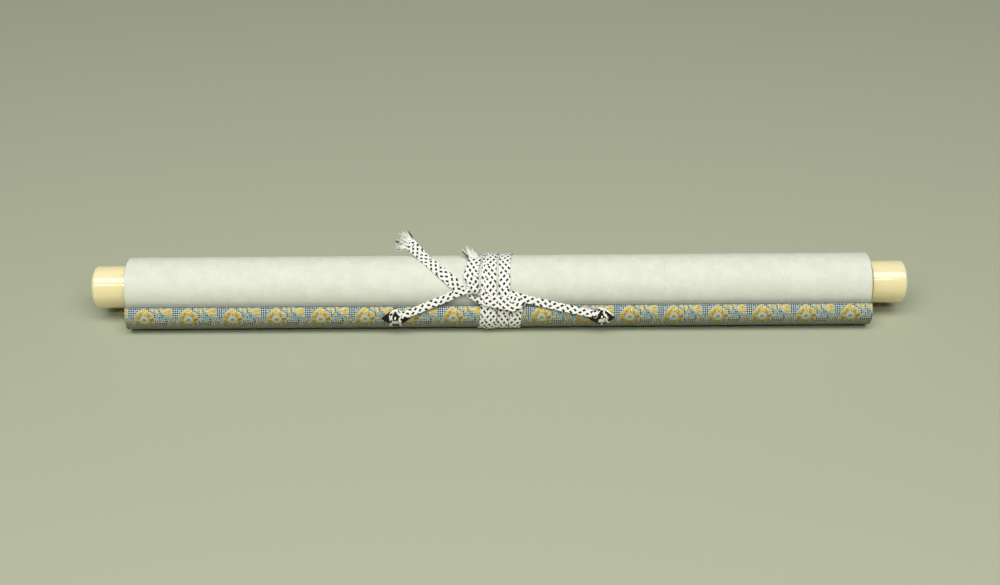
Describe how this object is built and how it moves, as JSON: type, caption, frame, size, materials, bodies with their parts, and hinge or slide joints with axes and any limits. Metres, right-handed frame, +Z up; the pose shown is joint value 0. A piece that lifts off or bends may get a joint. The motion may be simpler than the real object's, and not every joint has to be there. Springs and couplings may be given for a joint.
{
  "type": "rolled paper scroll",
  "caption": "Hanging scroll rolled on a roller with turned ivory-coloured knobs, brocade top rod with eyelets, tied with a flat braided cord",
  "frame": {"origin": "under the middle of the box of the object without its free cords, on the surface that it lies on", "axes": "+X along the roller, +Y from the top rod towards the back of the roll, +Z up"},
  "size_m": [0.6, 0.0567, 0.0485],
  "materials": {
    "paper": "matt, faintly mottled",
    "brocade": "woven, soft sheen",
    "wood": "planed",
    "ivory_resin": "polished",
    "dark_metal": "dark lacquer",
    "braid": "braided, matt"
  },
  "bodies": {
    "root": {"roller": "wood", "rolled_sheet": "paper", "right_knob": "ivory_resin", "left_knob": "ivory_resin", "top_rod": "wood", "brocade_cover": "brocade", "left_eyelet_plate": "dark_metal", "right_eyelet_plate": "dark_metal", "left_eyelet": "dark_metal", "right_eyelet": "dark_metal", "binding_cord_turns": "braid", "hanging_cord": "braid", "binding_cord_tail": "braid", "binding_cord_stub": "braid"}
  },
  "joints": []
}
